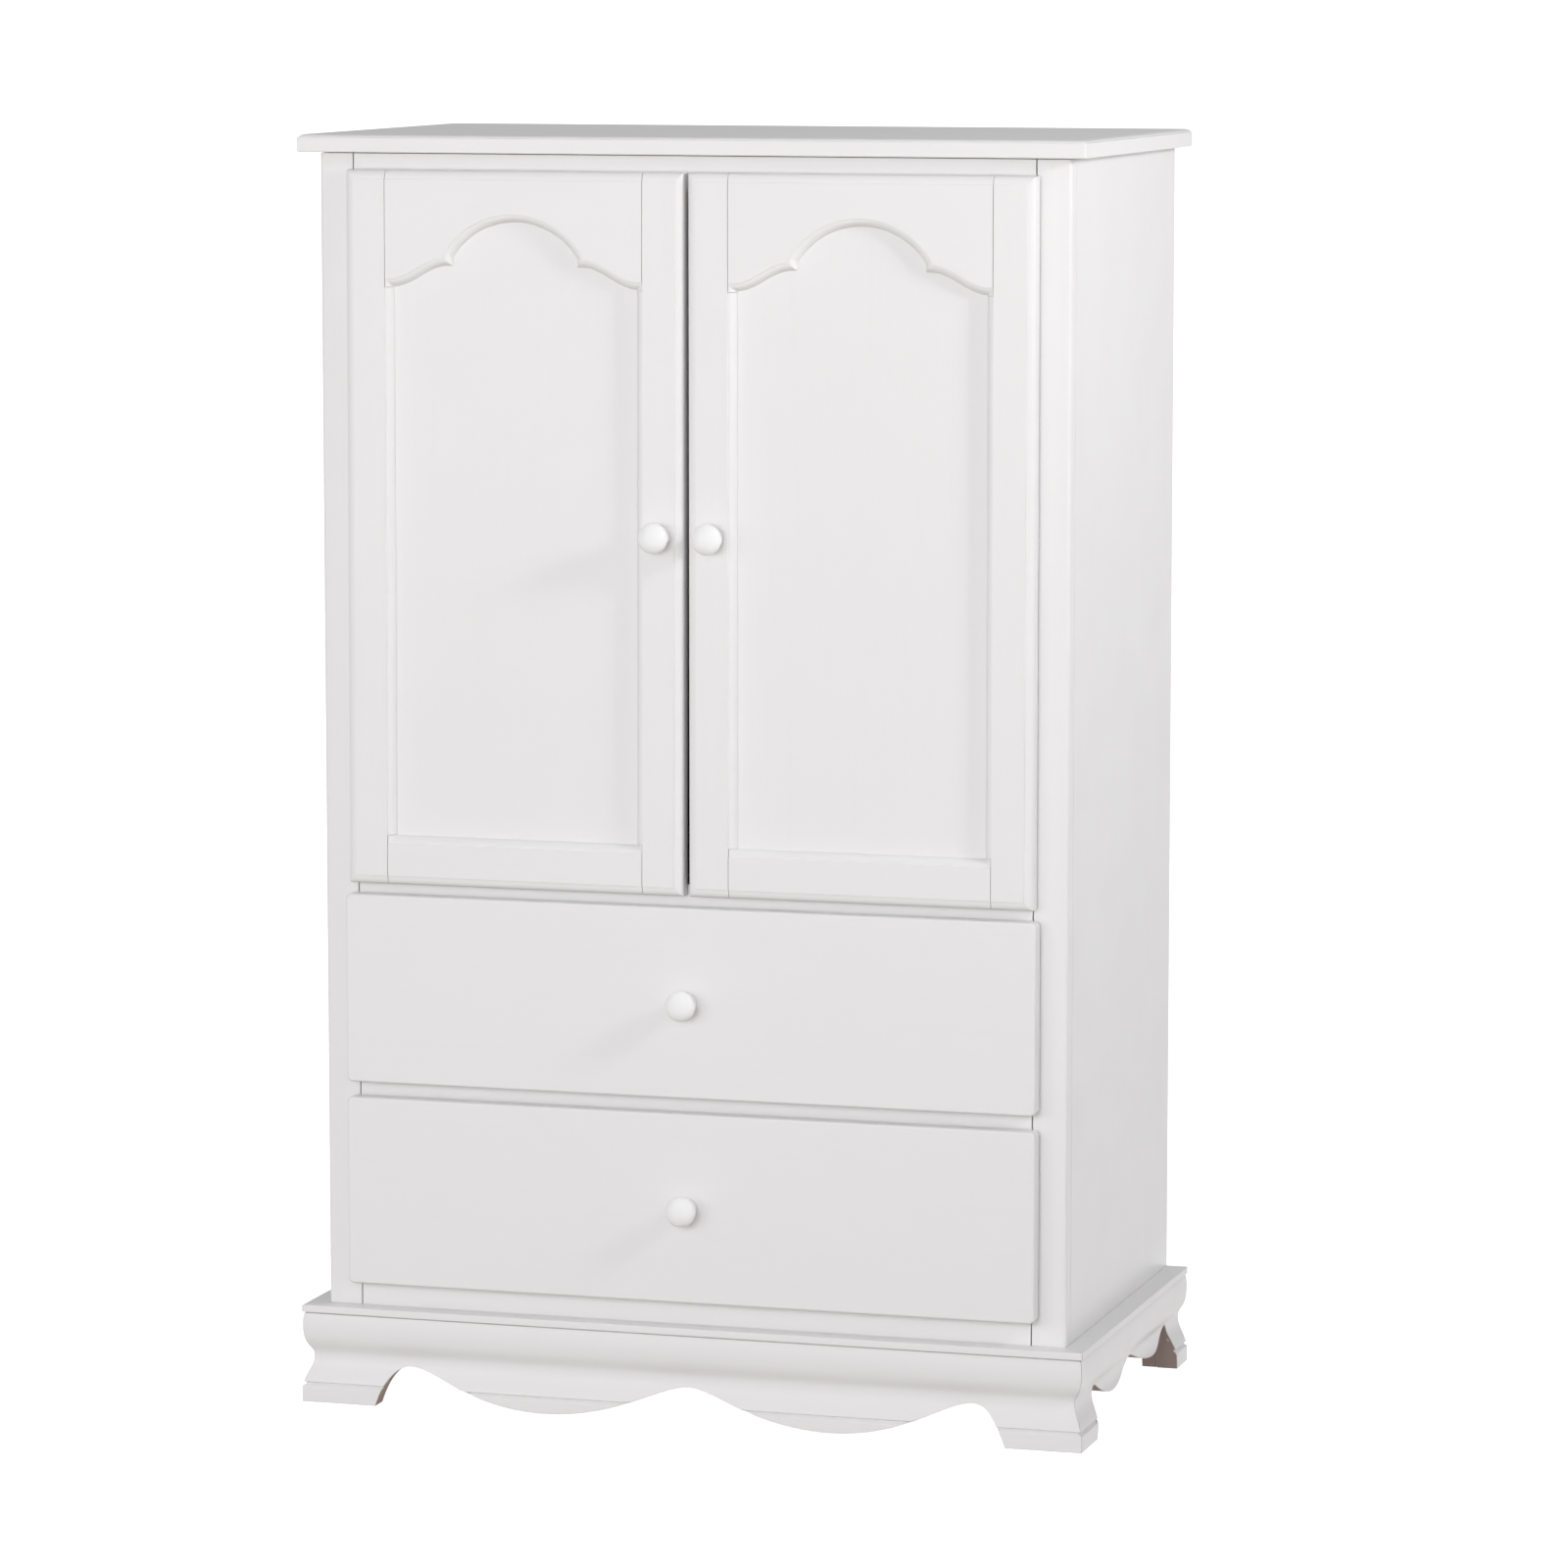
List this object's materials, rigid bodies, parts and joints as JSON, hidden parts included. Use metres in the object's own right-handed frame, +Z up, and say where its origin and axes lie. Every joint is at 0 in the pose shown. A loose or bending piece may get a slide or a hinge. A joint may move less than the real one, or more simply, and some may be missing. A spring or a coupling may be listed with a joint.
{
  "type": "armoire",
  "caption": "White painted wooden armoire: hinged doors with arched panels over full-width drawers, a projecting top, and a moulded base with scalloped aprons and feet.",
  "frame": {"origin": "on the floor, under the middle of the object's overall box", "axes": "+X to the armoire's own left-to-right as seen from the front, +Y from the front to the back, +Z up; doors and drawers face -Y"},
  "size_m": [0.914, 0.529, 1.436],
  "materials": {
    "white_paint": "satin white paint on wood",
    "raw_wood": "unpainted boards inside the case",
    "drawer_wood": "clear finished light wood",
    "back_board": "raw hardboard",
    "plated_steel": "nickel plated pressings",
    "brown_plastic": "moulded brown plastic"
  },
  "bodies": {
    "case": {"back_panel": "back_board", "base_front": "white_paint", "bottom_board": "raw_wood", "bottom_rail": "white_paint", "cabinet_floor": "raw_wood", "clothes_rod": "drawer_wood", "door_catch": "brown_plastic", "drawer_rail": "white_paint", "left_base": "white_paint", "left_door_lower_hinge_arm": "plated_steel", "left_door_upper_hinge_arm": "plated_steel", "left_front_post": "white_paint", "left_rod_socket": "plated_steel", "left_shelf_cleat": "raw_wood", "left_side_panel": "white_paint", "lower_drawer_glide": "plated_steel", "middle_rail": "white_paint", "right_base": "white_paint", "right_door_lower_hinge_arm": "plated_steel", "right_door_upper_hinge_arm": "plated_steel", "right_front_post": "white_paint", "right_rod_socket": "plated_steel", "right_shelf_cleat": "raw_wood", "right_side_panel": "white_paint", "shelf": "raw_wood", "top_board": "white_paint", "top_rail": "white_paint", "upper_drawer_glide": "plated_steel"},
    "left_door": {"left_door_arched_rail": "white_paint", "left_door_bottom_rail": "white_paint", "left_door_inner_stile": "white_paint", "left_door_knob": "white_paint", "left_door_lower_hinge_cup": "plated_steel", "left_door_outer_stile": "white_paint", "left_door_panel": "white_paint", "left_door_strike_plate": "plated_steel", "left_door_upper_hinge_cup": "plated_steel"},
    "right_door": {"right_door_arched_rail": "white_paint", "right_door_bottom_rail": "white_paint", "right_door_inner_stile": "white_paint", "right_door_knob": "white_paint", "right_door_lower_hinge_cup": "plated_steel", "right_door_outer_stile": "white_paint", "right_door_panel": "white_paint", "right_door_strike_plate": "plated_steel", "right_door_upper_hinge_cup": "plated_steel"},
    "upper_drawer": {"upper_drawer_back": "drawer_wood", "upper_drawer_floor": "drawer_wood", "upper_drawer_front": "white_paint", "upper_drawer_knob": "white_paint", "upper_drawer_left_side": "drawer_wood", "upper_drawer_right_side": "drawer_wood", "upper_drawer_runner": "brown_plastic"},
    "lower_drawer": {"lower_drawer_back": "drawer_wood", "lower_drawer_floor": "drawer_wood", "lower_drawer_front": "white_paint", "lower_drawer_knob": "white_paint", "lower_drawer_left_side": "drawer_wood", "lower_drawer_right_side": "drawer_wood", "lower_drawer_runner": "brown_plastic"}
  },
  "joints": [
    {"name": "left_door_hinge", "type": "hinge", "parent": "case", "child": "left_door", "pos_m": [-0.392, -0.2245, 0.9975], "axis": [0, 0, -1], "range_deg": [0, 105]},
    {"name": "right_door_hinge", "type": "hinge", "parent": "case", "child": "right_door", "pos_m": [0.392, -0.2245, 0.9975], "axis": [0, 0, 1], "range_deg": [0, 105]},
    {"name": "upper_drawer_slide", "type": "slide", "parent": "case", "child": "upper_drawer", "axis": [0, -1, 0], "range_m": [0, 0.3]},
    {"name": "lower_drawer_slide", "type": "slide", "parent": "case", "child": "lower_drawer", "axis": [0, -1, 0], "range_m": [0, 0.3]}
  ]
}
